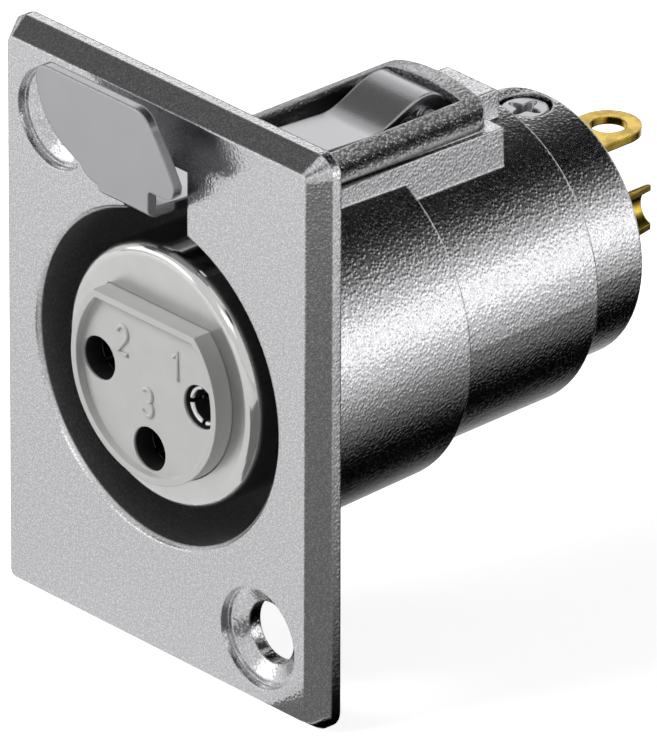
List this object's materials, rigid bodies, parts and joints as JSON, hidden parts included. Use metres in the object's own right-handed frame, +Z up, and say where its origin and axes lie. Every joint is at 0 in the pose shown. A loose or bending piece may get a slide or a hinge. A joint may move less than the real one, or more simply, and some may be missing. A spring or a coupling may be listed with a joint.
{
  "type": "female three-contact panel connector",
  "caption": "Round three-contact audio socket on a rectangular panel flange, with a bright inner sleeve, a stepped barrel, solder cups and a hinged latch lever.",
  "frame": {"origin": "centre of the plug opening, in the plane of the flange's front face", "axes": "+X to the right and +Z up, seen from the front; +Y back along the barrel, away from the plug"},
  "size_m": [0.025, 0.0367, 0.0337],
  "materials": {
    "satin_nickel": "die-cast metal with a pebbled satin nickel plating",
    "bright_nickel": "polished nickel plating",
    "grey_plastic": "light grey moulding",
    "black_plastic": "black moulding",
    "gold_plate": "gold-coloured plating on copper alloy",
    "screw_steel": "nickel-plated steel",
    "lever_steel": "smooth satin nickel on spring steel"
  },
  "bodies": {
    "housing": {"shell": "satin_nickel", "mating_sleeve": "bright_nickel", "front_insulator": "grey_plastic", "rear_insulator": "black_plastic", "contact_1": "gold_plate", "contact_2": "gold_plate", "contact_3": "gold_plate", "ground_lug": "gold_plate", "retaining_screw": "screw_steel", "latch_pin": "screw_steel"},
    "latch": {"latch_lever": "lever_steel"}
  },
  "joints": [
    {"name": "latch_release", "type": "hinge", "parent": "housing", "child": "latch", "pos_m": [0, 0.01765, 0.01025], "axis": [-1, 0, 0], "range_deg": [0, 3.5], "stiffness_Nm_per_rad": 1.5, "springref_deg": -2.86}
  ]
}
